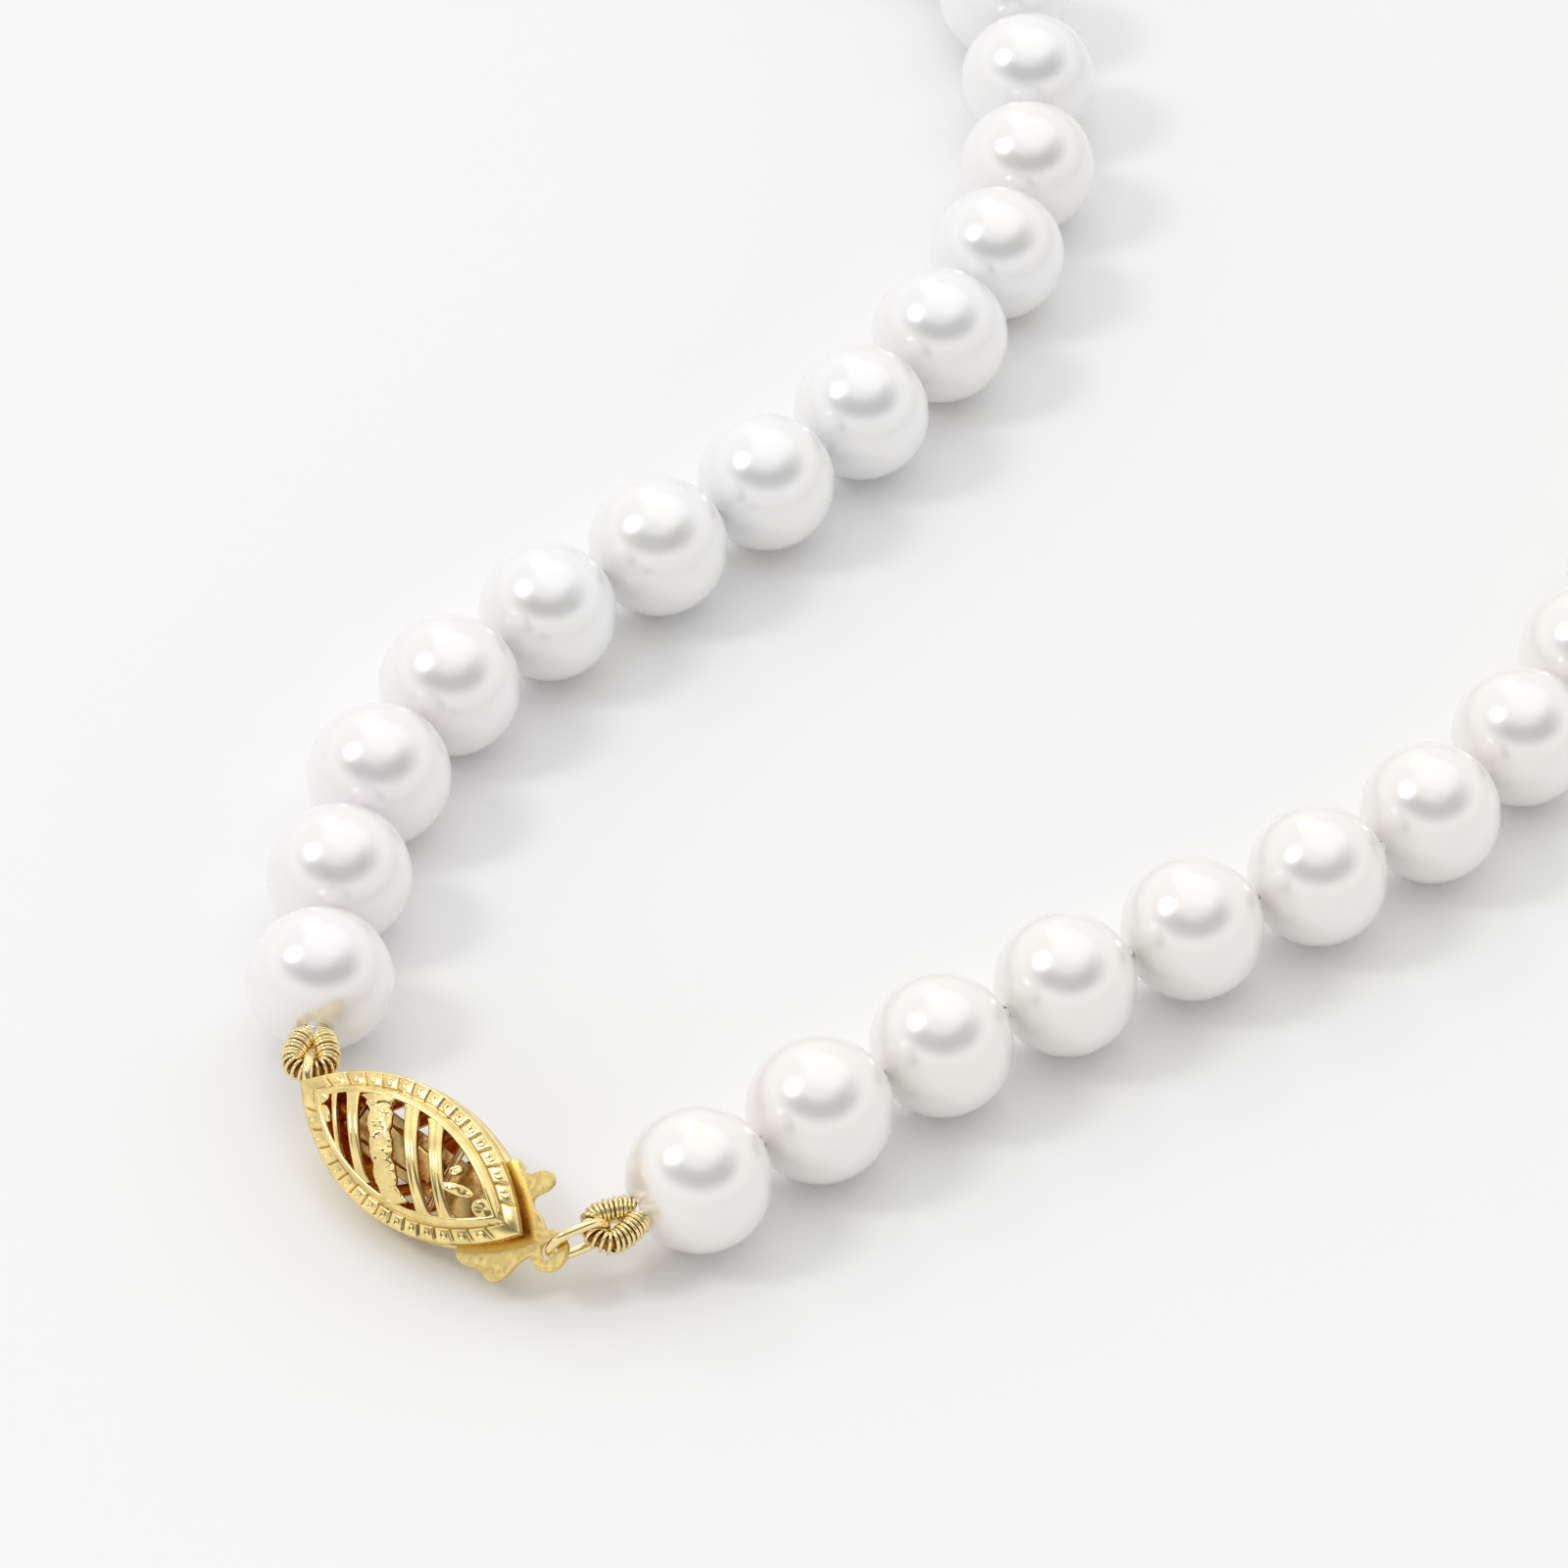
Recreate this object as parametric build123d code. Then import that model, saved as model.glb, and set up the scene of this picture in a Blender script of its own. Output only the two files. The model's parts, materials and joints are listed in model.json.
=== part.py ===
from build123d import *
import math
import os

# A knotted strand of near-round pearls on silk, closed by a marquise filigree fish-hook
# clasp.  It lies flat in one loop.  Millimetres, +Z up, Z = 0 is the surface it lies on,
# +Y runs along the loop away from the clasp.

# ---- driving dimensions: pearls and silk ---------------------------------------------
pearl_count = 48
pearl_diameter = 7.3
diameter_spread = 0.12  # a matched strand: each pearl is within this of the nominal
bore_diameter = 0.8
mouth_diameter = 1.24  # the worn-in funnel at each end of a bore, where the knot sits
mouth_depth = 0.3
knot_gap = 0.22  # clear space between two pearls' faces at a knot
knot_diameter = 0.9
thread_diameter = 0.45
closing_gap = 0.3  # extra space at the far knot, where the chain of joints is opened

# ---- driving dimensions: clasp housing -----------------------------------------------
housing_length = 15.2
housing_width = 6.9
rim_width = 0.75
slit_half = 0.45  # half the space between the two rims, which the tongue slides through
rim_top = 0.9
dome_rise = 1.15
shell_wall = 0.32
skirt_overlap = 0.2  # the dome's foot runs this far out over the rim
slit_length = 4.2  # this far back from the open tip the two shells stand apart
bar_angle = 49.0  # filigree bars, measured from the clasp's long axis
bar_pitch = 1.45
opening_width = 0.8
opening_count = 7
opening_border = 0.5
catch_bar_radius = 0.22
catch_bar_setback = 5.3  # from the open tip
catch_bar_seat = 0.15  # each end of the bar is let this far into the dome

# ---- driving dimensions: tongue, rings and bullion -----------------------------------
tongue_half_width = 1.2
tongue_setback = 3.3  # the closed tip to the tongue's back end
tongue_bottom = -0.42
tongue_thickness = 0.26
leaf_half_width = 0.85
leaf_length = 5.6
leaf_thickness = 0.18
leaf_top = 0.40
eye_stand_off = 1.3  # the open tip to the middle of the eye
eye_radius = 1.0
eye_hole_radius = 0.5
ring_stand_off = 0.6  # the closed tip to the middle of the end ring
housing_ring_radius = 0.95
housing_ring_wire = 0.25
jump_ring_length = 3.0
jump_ring_radius = 1.15
jump_ring_wire = 0.25
jump_ring_roll = 0.0  # turned about its own length, near side down
gimp_radius = 1.0
gimp_tube = 0.5
link_slack = 0.1  # how far two linked rings stand off their tightest pull
pearl_clearance = 0.1

# The tongue's two finger wings: how far each lobe's middle is short of the open tip, how
# far it is inside the housing's widest edge, and its radius.
near_wing = ((2.65, 1.2, 0.6), (1.5, 1.4, 0.75), (0.6, 1.4, 0.75))
far_wing = ((2.8, 1.15, 0.45), (1.3, 1.5, 0.45), (1.05, 1.1, 0.42), (0.8, 0.7, 0.42))
wing_root = (1.6, 1.95, 2.6, 1.3)  # the plate that joins the lobes, its length and width

# ---- where the clasp lies ------------------------------------------------------------
clasp_centre = Vector(-17.9, -30.4, 3.25)
clasp_heading = -43.7
clasp_roll = 41.0  # it leans on its near rim, far rim up
left_heading = 87.0  # the way the strand leaves each end of the clasp
right_heading = 23.5

# The loop's course over the surface, from the left gimp round to the right one.  Points
# beyond far_end_from move away along +Y, in full past far_end_full, until the strand fits.
far_end_from = 60.0
far_end_full = 80.0
route = [
    (-22.4, -10.6),
    (-20.6, -2.8),
    (-17.0, 4.0),
    (-12.2, 9.2),
    (-6.8, 13.9),
    (-1.2, 18.8),
    (4.0, 24.4),
    (8.2, 30.6),
    (11.4, 37.2),
    (13.3, 44.4),
    (13.4, 52.0),
    (12.2, 59.6),
    (9.4, 67.0),
    (6.4, 75.0),
    (4.8, 83.5),
    (5.8, 92.5),
    (10.0, 100.8),
    (17.2, 107.2),
    (26.5, 110.8),
    (36.5, 110.8),
    (46.0, 107.4),
    (53.6, 101.0),
    (58.8, 92.2),
    (60.8, 82.0),
    (60.0, 72.0),
    (57.8, 62.5),
    (55.2, 53.0),
    (52.6, 43.5),
    (50.0, 33.5),
    (47.4, 23.5),
    (44.3, 13.4),
    (40.4, 4.2),
    (35.6, -3.0),
    (29.6, -8.8),
    (22.8, -13.0),
    (15.8, -17.2),
    (9.0, -21.8),
    (2.4, -26.8),
]


# ---- the strand's course -------------------------------------------------------------
def pearl_size(i):
    """Diameter of pearl i: a slow drift along the strand and a little scatter."""
    drift = math.sin(0.41 * i + 0.6)
    scatter = math.sin(2.3 * i)
    return pearl_diameter + diameter_spread * (0.6 * drift + 0.4 * scatter)


def heading(degrees):
    a = math.radians(degrees)
    return Vector(math.cos(a), math.sin(a), 0)


def rising(degrees, start, run):
    """The way from start, at a heading, that climbs to the strand's height over run."""
    return (heading(degrees) + Vector(0, 0, (strand_height - start.Z) / run)).normalized()


half_length = housing_length / 2
tongue_back = tongue_setback - half_length
eye_place = half_length + eye_stand_off
clasp_axis = heading(clasp_heading)
clasp_plane = Plane(
    origin=clasp_centre,
    x_dir=clasp_axis,
    z_dir=Vector(0, 0, 1).rotate(Axis((0, 0, 0), clasp_axis), clasp_roll),
)
clasp_normal = clasp_plane.z_dir
strand_height = pearl_diameter / 2
gimp_reach = gimp_radius + gimp_tube + pearl_clearance / 2
# Two linked rings pulled tight stand their radii apart, less both wires.
left_link = housing_ring_radius + gimp_radius - housing_ring_wire - gimp_tube - link_slack
right_link = jump_ring_length + gimp_radius - jump_ring_wire - gimp_tube - link_slack
ring_centre = clasp_centre - clasp_axis * half_length + heading(left_heading) * ring_stand_off
left_way = rising(left_heading, ring_centre, left_link + gimp_reach)
left_gimp_centre = ring_centre + left_way * left_link
eye_centre = clasp_plane.from_local_coords(
    Vector(eye_place, 0, tongue_bottom + tongue_thickness / 2)
)
right_way = rising(right_heading, eye_centre, right_link + gimp_reach)
right_gimp_centre = eye_centre + right_way * right_link


def flat(v):
    return (v.X, v.Y)


first_knot = flat(left_gimp_centre + left_way * gimp_reach)
last_knot = flat(right_gimp_centre + right_way * gimp_reach)


def course(reach):
    """The route as a close run of points, its far end moved out by reach."""
    pts = [first_knot]
    for x, y in route:
        share = (y - far_end_from) / (far_end_full - far_end_from)
        pts.append((x, y + reach * min(1.0, max(0.0, share))))
    pts.append(last_knot)
    ends = [tuple(2 * a - b for a, b in zip(pts[0], pts[1]))] + pts
    ends.append(tuple(2 * a - b for a, b in zip(pts[-1], pts[-2])))
    line = []
    for p0, p1, p2, p3 in zip(ends, ends[1:], ends[2:], ends[3:]):
        for n in range(24):
            t = n / 24
            line.append(
                tuple(
                    0.5 * (2 * b + (c - a) * t + (2 * a - 5 * b + 4 * c - d) * t * t
                           + (3 * b - a - 3 * c + d) * t * t * t)
                    for a, b, c, d in zip(p0, p1, p2, p3)
                )
            )
    line.append(pts[-1])
    return line


def spans():
    """Knot-to-knot length of each pearl in turn."""
    out = []
    for i in range(1, pearl_count + 1):
        out.append(pearl_size(i) + knot_gap)
    out[pearl_count // 2 - 1] += closing_gap / 2
    out[pearl_count // 2] += closing_gap / 2
    return out


def knots_along(line):
    """Step along a course by each pearl's span, and say how much course is left."""
    here = line[0]
    found = [here]
    k = 1
    for span in spans():
        while k < len(line) and math.dist(here, line[k]) < span:
            k += 1
        if k == len(line):
            return found, -span * (pearl_count + 1 - len(found))
        a, b = line[k - 1], line[k]
        low, high = 0.0, 1.0
        for _ in range(30):
            mid = (low + high) / 2
            p = (a[0] + (b[0] - a[0]) * mid, a[1] + (b[1] - a[1]) * mid)
            if math.dist(here, p) < span:
                low = mid
            else:
                high = mid
        here = p
        found.append(here)
    left = math.dist(here, line[k])
    for a, b in zip(line[k:], line[k + 1:]):
        left += math.dist(a, b)
    return found, left


def lay_strand():
    """Move the far end until the last pearl just reaches the right gimp."""
    low, high = -15.0, 150.0
    for _ in range(40):
        mid = (low + high) / 2
        if knots_along(course(mid))[1] < 0:
            low = mid
        else:
            high = mid
    return knots_along(course(high))[0]


knots = lay_strand()


# ---- pearls and silk -----------------------------------------------------------------
def turned(origin, way):
    """A plane whose normal runs along way, for things built round +Z."""
    return Plane(origin=origin, z_dir=way)


def pearl(i):
    """Pearl i, drilled through, its bore opening into a small funnel at each end."""
    r = pearl_size(i) / 2
    a, b = knots[i - 1], knots[i]
    centre = Vector((a[0] + b[0]) / 2, (a[1] + b[1]) / 2, r)
    way = Vector(b[0] - a[0], b[1] - a[1], 0).normalized()
    mouth = mouth_diameter / 2
    edge = math.sqrt(r**2 - mouth**2)
    bore = bore_diameter / 2
    with BuildPart() as drilled:
        with BuildSketch(Plane.XZ):
            with BuildLine():
                ThreePointArc((mouth, -edge), (r, 0), (mouth, edge))
                Line((mouth, edge), (bore, edge - mouth_depth))
                Line((bore, edge - mouth_depth), (bore, mouth_depth - edge))
                Line((bore, mouth_depth - edge), (mouth, -edge))
            make_face()
        revolve(axis=Axis.Z)
    return turned(centre, way).location * drilled.part.solid()


def knot_height(i):
    near = [pearl_size(k) / 2 for k in (i, i + 1) if 1 <= k <= pearl_count]
    return sum(near) / len(near)


def knot_point(i):
    return Vector(knots[i][0], knots[i][1], knot_height(i))


def silk_knots():
    blobs = []
    for i in range(1, pearl_count):
        blobs.append(Pos(knot_point(i)) * Sphere(knot_diameter / 2).solid())
    return Compound(children=blobs)


def silk_thread():
    """One run of silk in each pearl, from knot to knot."""
    runs = []
    into_knot = knot_diameter / 2 - 0.03
    for i in range(pearl_count):
        a, b = knot_point(i), knot_point(i + 1)
        way = (b - a).normalized()
        a = a + way * (into_knot if i > 0 else 0.02)
        b = b - way * (into_knot if i < pearl_count - 1 else 0.02)
        run = Cylinder(thread_diameter / 2, (b - a).length)
        runs.append(turned((a + b) * 0.5, way).location * run.solid())
    return Compound(children=runs)


# ---- clasp housing, built round its own centre: X along the clasp, Z its face ---------
def marquise(inset):
    """The housing's outline, two arcs from tip to tip, drawn in by inset."""
    half_wide = housing_width / 2
    radius = (half_length**2 + half_wide**2) / (2 * half_wide)
    disc = Circle(radius - inset)
    up = Pos(0, radius - half_wide, 0) * disc
    down = Pos(0, half_wide - radius, 0) * disc
    return up & down


def dome(inset, drop):
    """A low dome over the rim's inner edge, curved both ways, let down by drop."""
    half_long = half_length - rim_width
    half_wide = housing_width / 2 - rim_width
    across = (half_wide**2 + dome_rise**2) / (2 * dome_rise)
    along = (half_long**2 + dome_rise**2) / (2 * dome_rise)
    sag = along - math.sqrt(along**2 - half_long**2)
    crown = across - drop
    far = half_long + rim_width
    far_sag = along - math.sqrt(along**2 - far**2)
    with BuildPart() as barrel:
        with BuildSketch(Plane.XZ):
            with BuildLine():
                ThreePointArc((-far, crown - far_sag), (0, crown), (far, crown - far_sag))
                Line((far, crown - far_sag), (far, 0))
                Line((far, 0), (-far, 0))
                Line((-far, 0), (-far, crown - far_sag))
            make_face()
        revolve(axis=Axis.X)
    lifted = Pos(0, 0, rim_top + dome_rise - across) * barrel.part
    column = Pos(0, 0, slit_half) * extrude(marquise(inset), amount=4 * dome_rise)
    return lifted & column


def opening(n):
    """One diagonal opening between two filigree bars, rounded at both ends."""
    along = (n - (opening_count - 1) / 2) * bar_pitch
    slot = Box(opening_width, housing_width, 6 * dome_rise)
    slot = Pos(along, 0, 0) * Rot(0, 0, 90 - bar_angle) * slot
    window = extrude(marquise(rim_width + opening_border), amount=3 * dome_rise, both=True)
    return slot & window


def shell():
    """The upper shell: a rim with a wall down to the seam, and a pierced dome."""
    rim = extrude(marquise(0) - marquise(rim_width), amount=rim_top - slit_half)
    rim = Pos(0, 0, slit_half) * rim
    wall = extrude(marquise(0) - marquise(rim_width), amount=slit_half)
    wall &= Pos(half_length - slit_length - housing_length, 0, 0) * Box(
        2 * housing_length, 2 * housing_width, 4 * rim_top
    )
    cover = dome(rim_width - skirt_overlap, 0) - dome(rim_width, shell_wall)
    cover -= extrude(marquise(rim_width), amount=rim_top - 0.01)
    for n in range(opening_count):
        cover -= opening(n)
    whole = rim + wall + cover
    return max(whole.solids(), key=lambda s: s.volume)


def ring(radius, wire):
    return Torus(radius, wire).solid()


def housing_ring():
    across = left_way.cross(Vector(0, 0, 1)).normalized()
    return turned(ring_centre, across).location * ring(housing_ring_radius, housing_ring_wire)


def catch_bar():
    """The cross bar that the tongue's sprung leaf stops behind, under the upper shell."""
    place = half_length - catch_bar_setback
    half = housing_width / 2 * (1 - (place / half_length) ** 2)
    length = 2 * (half - rim_width + catch_bar_seat)
    bar = Rot(90, 0, 0) * Cylinder(catch_bar_radius, length)
    return Pos(place, 0, slit_half + catch_bar_radius + 0.02) * bar.solid()


def wing(lobes, side):
    """One finger wing: its lobes, and the plate that joins them to the blade."""
    back, inside, long, wide = wing_root
    half_wide = housing_width / 2
    shape = Pos(half_length - back, side * (half_wide - inside), 0) * Rectangle(long, wide)
    for back, inside, radius in lobes:
        shape += Pos(half_length - back, side * (half_wide - inside), 0) * Circle(radius)
    return shape


def tongue_plate():
    """The flat tongue, its finger wings, and the eye beyond the housing's open tip."""
    neck_start = eye_place - 2
    outline = Pos((tongue_back + neck_start) / 2, 0, 0) * Rectangle(
        neck_start - tongue_back, 2 * tongue_half_width
    )
    outline += Pos(eye_place - eye_radius, 0, 0) * Rectangle(2 * eye_radius, 1.1)
    outline += Pos(eye_place, 0, 0) * Circle(eye_radius)
    outline += wing(near_wing, -1)
    outline += wing(far_wing, 1)
    outline -= Pos(eye_place, 0, 0) * Circle(eye_hole_radius)
    plate = extrude(outline, amount=tongue_thickness)
    return Pos(0, 0, tongue_bottom) * plate.solid()


leaf_floor = tongue_bottom + tongue_thickness + 0.02


def leaf_slope():
    """How steeply the leaf stands off the tongue, so its tip just clears the catch bar."""
    return math.degrees(math.atan2(leaf_top - leaf_floor - leaf_thickness, leaf_length))


def tongue_leaf():
    """The sprung leaf, hinged where the strip folds back over the tongue."""
    leaf = Box(leaf_length, 2 * leaf_half_width, leaf_thickness)
    leaf = Pos(leaf_length / 2, 0, leaf_thickness / 2) * leaf
    leaf = Rot(0, -leaf_slope(), 0) * leaf
    return Pos(tongue_back + 0.15, 0, leaf_floor) * leaf.solid()


def jump_ring():
    """An oval wire ring through the eye and the right gimp."""
    straight = (jump_ring_length - 2 * jump_ring_radius) / 2
    r = jump_ring_radius
    with BuildPart() as wire:
        with BuildLine() as path:
            Line((-straight, r, 0), (straight, r, 0))
            ThreePointArc((straight, r, 0), (straight + r, 0, 0), (straight, -r, 0))
            Line((straight, -r, 0), (-straight, -r, 0))
            ThreePointArc((-straight, -r, 0), (-straight - r, 0, 0), (-straight, r, 0))
        with BuildSketch(Plane(origin=(0, r, 0), z_dir=(1, 0, 0))):
            Circle(jump_ring_wire)
        sweep(path=path.wires()[0])
    middle = eye_centre + right_way * (jump_ring_length / 2)
    side = right_way.cross(clasp_normal).rotate(Axis((0, 0, 0), right_way), jump_ring_roll)
    return Plane(origin=middle, x_dir=right_way, z_dir=side).location * wire.part.solid()


def gimp_left():
    return Plane(origin=left_gimp_centre, x_dir=left_way, z_dir=left_up).location * ring(
        gimp_radius, gimp_tube
    )


def gimp_right():
    return Plane(origin=right_gimp_centre, x_dir=right_way, z_dir=right_up).location * ring(
        gimp_radius, gimp_tube
    )


left_up = left_way.cross(Vector(0, 0, 1)).cross(left_way).normalized()
right_up = right_way.cross(clasp_normal).cross(right_way).normalized()


# ---- the assembly --------------------------------------------------------------------
def in_clasp(shape):
    return clasp_plane.location * shape


def build():
    made = {}
    socket = housing_ring()
    upper = shell()
    lower = Rot(180, 0, 0) * upper
    made["clasp_top_shell"] = (in_clasp(upper) - socket).solids()[0]
    made["clasp_bottom_shell"] = (in_clasp(lower) - socket).solids()[0]
    made["clasp_catch_bar"] = in_clasp(catch_bar())
    made["clasp_end_ring"] = socket
    made["tongue_plate"] = in_clasp(tongue_plate())
    made["tongue_spring_leaf"] = in_clasp(tongue_leaf())
    made["jump_ring"] = jump_ring()
    made["gimp_left"] = gimp_left()
    made["gimp_right"] = gimp_right()
    for i in range(1, pearl_count + 1):
        made["pearl_%02d" % i] = pearl(i)
    made["silk_knots"] = silk_knots()
    made["silk_thread"] = silk_thread()
    return made


def centred(made):
    """Move everything so the origin is under the middle of the whole, on the surface."""
    boxes = [shape.bounding_box() for shape in made.values()]
    low_x = min(b.min.X for b in boxes)
    high_x = max(b.max.X for b in boxes)
    low_y = min(b.min.Y for b in boxes)
    high_y = max(b.max.Y for b in boxes)
    low_z = min(b.min.Z for b in boxes)
    shift = Vector(-(low_x + high_x) / 2, -(low_y + high_y) / 2, -low_z)
    return shift, {name: Pos(shift) * shape for name, shape in made.items()}


shift, placed = centred(build())
os.makedirs("parts", exist_ok=True)
for name, shape in placed.items():
    export_step(shape, "parts/%s.step" % name)
print("moved by", shift)
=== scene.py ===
import bmesh
import bpy
import json
import math
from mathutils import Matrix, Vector, noise


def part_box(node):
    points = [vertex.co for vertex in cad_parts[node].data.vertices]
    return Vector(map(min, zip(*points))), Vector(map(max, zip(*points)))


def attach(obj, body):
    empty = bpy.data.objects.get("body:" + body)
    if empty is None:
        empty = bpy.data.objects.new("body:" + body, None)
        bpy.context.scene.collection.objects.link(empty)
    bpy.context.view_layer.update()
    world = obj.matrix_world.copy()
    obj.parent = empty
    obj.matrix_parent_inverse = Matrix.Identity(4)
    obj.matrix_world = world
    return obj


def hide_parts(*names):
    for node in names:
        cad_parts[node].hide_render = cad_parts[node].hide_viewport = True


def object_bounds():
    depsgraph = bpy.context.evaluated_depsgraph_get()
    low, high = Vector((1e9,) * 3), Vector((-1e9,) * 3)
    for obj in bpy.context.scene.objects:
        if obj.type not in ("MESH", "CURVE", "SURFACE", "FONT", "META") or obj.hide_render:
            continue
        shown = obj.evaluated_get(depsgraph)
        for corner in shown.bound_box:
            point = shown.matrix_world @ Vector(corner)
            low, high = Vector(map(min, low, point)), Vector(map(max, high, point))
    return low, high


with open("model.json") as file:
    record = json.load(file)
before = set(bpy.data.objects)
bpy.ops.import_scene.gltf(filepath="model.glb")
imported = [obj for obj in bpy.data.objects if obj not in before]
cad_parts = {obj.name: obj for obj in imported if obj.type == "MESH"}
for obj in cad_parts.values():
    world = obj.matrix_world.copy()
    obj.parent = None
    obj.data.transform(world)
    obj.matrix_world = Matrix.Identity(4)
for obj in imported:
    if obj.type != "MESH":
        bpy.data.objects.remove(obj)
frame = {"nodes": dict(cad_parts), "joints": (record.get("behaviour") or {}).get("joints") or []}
cad_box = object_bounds()
MM = 0.001
FLOOR_GAP = 0.00002  # metres, under the lowest point

# ---- sizes, in millimetres -----------------------------------------------------------
HOUSING_LENGTH = 15.2
HOUSING_WIDTH = 6.9
RIM_WIDTH = 0.75
SLIT_HALF = 0.45
RIM_TOP = 0.9
DOME_RISE = 1.15
SHELL_WALL = 0.30
TONGUE_BOTTOM = -0.42
TONGUE_THICKNESS = 0.26
TONGUE_EDGE = 0.04  # rounding of its edges
LEAF_HALF_WIDTH = 0.85
LEAF_THICKNESS = 0.15
TONGUE_BACK = -4.3
EYE_PLACE = 8.9
EYE_RADIUS = 1.0
EYE_HOLE = 0.5
GIMP_TUBE = 0.5
PLY_RADIUS = 0.11
PLY_OFFSET = 0.09  # of each ply from the thread's middle
KNOT_PLY_RADIUS = 0.115
WRAP_PITCH = 0.25
WRAP_RADIUS = 0.10
# the dark tube inside each bullion coil: painted shade between the wire's turns
SHADE_CORE_RADIUS = 0.34
BORE_RADIUS = 0.27
MOUTH_RADIUS = 0.29
MOUTH_DEPTH = 0.06

# ---- the view ------------------------------------------------------------------------
VIEW_ELEVATION = 43.0  # degrees
VIEW_DISTANCE = 0.56  # metres
LENS = 252.0
AIM_X, AIM_Y = 17.9, 30.4  # what the camera looks at, from the clasp's middle

joints = {j["name"]: j for j in frame["joints"]}
hinge_of = {j["child"]: j for j in frame["joints"]}
pearls = sorted(n for n in frame["nodes"] if n.startswith("pearl_"))
half = len(pearls) // 2


# ---- small helpers -------------------------------------------------------------------
def face_outward(mesh):
    """Turns every face's normal to the outside."""
    work = bmesh.new()
    work.from_mesh(mesh)
    bmesh.ops.recalc_face_normals(work, faces=work.faces)
    work.to_mesh(mesh)
    work.free()


def object_from(name, points, faces, material, body):
    """A mesh object whose points are in metres, riding on a body."""
    mesh = bpy.data.meshes.new(name)
    mesh.from_pydata([tuple(p) for p in points], [], faces)
    mesh.validate()
    face_outward(mesh)
    mesh.materials.append(material)
    for poly in mesh.polygons:
        poly.use_smooth = True
    ob = bpy.data.objects.new(name, mesh)
    bpy.context.scene.collection.objects.link(ob)
    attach(ob, body)
    return ob


def grid_faces(rows, cols, wrap_cols=False, wrap_rows=False):
    """Quads of a grid of rows x cols points."""
    faces = []
    for i in range(rows if wrap_rows else rows - 1):
        for j in range(cols if wrap_cols else cols - 1):
            here, there = i * cols, (i + 1) % rows * cols
            after = (j + 1) % cols
            faces.append((here + j, here + after, there + after, there + j))
    return faces


def smooth_path(points, steps, closed=False):
    """A Catmull-Rom course through points."""
    pts = [Vector(p) for p in points]
    if closed:
        pts = [pts[-1]] + pts + pts[:2]
    else:
        pts = [2 * pts[0] - pts[1]] + pts + [2 * pts[-1] - pts[-2]]
    out = []
    for a, b, c, d in zip(pts, pts[1:], pts[2:], pts[3:]):
        for n in range(steps):
            t = n / steps
            out.append(
                0.5 * (2 * b + (c - a) * t + (2 * a - 5 * b + 4 * c - d) * t * t
                       + (3 * b - a - 3 * c + d) * t**3)
            )
    if not closed:
        out.append(pts[-2])
    return out


def tube(path, radius, sides, closed=False):
    """Points and faces of a round tube along a path, its ends capped."""
    count = len(path)
    points = []
    normal = None
    for i, p in enumerate(path):
        before = path[i - 1] if (i > 0 or closed) else p
        after = path[(i + 1) % count] if (i < count - 1 or closed) else p
        way = (after - before).normalized()
        if normal is None:
            normal = way.orthogonal().normalized()
        normal = (normal - way * normal.dot(way)).normalized()
        side = way.cross(normal)
        r = radius(i / max(1, count - 1)) if callable(radius) else radius
        for k in range(sides):
            a = 2 * math.pi * k / sides
            points.append(p + (normal * math.cos(a) + side * math.sin(a)) * r)
    faces = grid_faces(count, sides, wrap_cols=True, wrap_rows=closed)
    if not closed:
        faces.append(tuple(reversed(range(sides))))
        faces.append(tuple(range((count - 1) * sides, count * sides)))
    return points, faces


def joined(parts):
    """Several (points, faces) as one."""
    points, faces = [], []
    for p, f in parts:
        base = len(points)
        points += p
        faces += [tuple(v + base for v in face) for face in f]
    return points, faces


# ---- materials -----------------------------------------------------------------------
def new_material(name):
    material = bpy.data.materials.new(name)
    material.use_nodes = True
    tree = material.node_tree
    shader = tree.nodes["Principled BSDF"]
    return material, tree, shader


def noise_texture(tree, scale, detail, coords, roughness=0.5):
    node = tree.nodes.new("ShaderNodeTexNoise")
    node.inputs["Scale"].default_value = scale
    node.inputs["Detail"].default_value = detail
    node.inputs["Roughness"].default_value = roughness
    tree.links.new(coords, node.inputs["Vector"])
    return node.outputs["Fac"]


def ramp(tree, factor, stops):
    node = tree.nodes.new("ShaderNodeValToRGB")
    while len(node.color_ramp.elements) < len(stops):
        node.color_ramp.elements.new(0.5)
    for element, (place, colour) in zip(node.color_ramp.elements, stops):
        element.position = place
        element.color = (*colour, 1.0)
    tree.links.new(factor, node.inputs["Fac"])
    return node.outputs["Color"]


def bump(tree, shader, height, strength, distance):
    node = tree.nodes.new("ShaderNodeBump")
    node.inputs["Strength"].default_value = strength
    node.inputs["Distance"].default_value = distance
    tree.links.new(height, node.inputs["Height"])
    tree.links.new(node.outputs["Normal"], shader.inputs["Normal"])


def object_coords(tree):
    return tree.nodes.new("ShaderNodeTexCoord").outputs["Object"]


def nacre(name, body, overtone, shade):
    """Pearl: white nacre that mirrors its surroundings softly, with a cloudy overtone."""
    material, tree, shader = new_material(name)
    coords = object_coords(tree)
    clouds = noise_texture(tree, 170.0, 3.0, coords)
    colour = ramp(tree, clouds, [(0.32, shade), (0.5, body), (0.68, overtone)])
    tree.links.new(colour, shader.inputs["Base Color"])
    grain = noise_texture(tree, 900.0, 2.0, coords)
    gloss = ramp(tree, grain, [(0.3, (0.22, 0.22, 0.22)), (0.7, (0.27, 0.27, 0.27))])
    tree.links.new(gloss, shader.inputs["Roughness"])
    dimples = noise_texture(tree, 420.0, 1.5, coords)
    bump(tree, shader, dimples, 0.12, 0.00008)
    shader.inputs["Metallic"].default_value = 0.40
    shader.inputs["IOR"].default_value = 1.55
    shader.inputs["Coat Weight"].default_value = 0.12
    shader.inputs["Coat Roughness"].default_value = 0.16
    shader.inputs["Coat IOR"].default_value = 1.55
    return material


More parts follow.
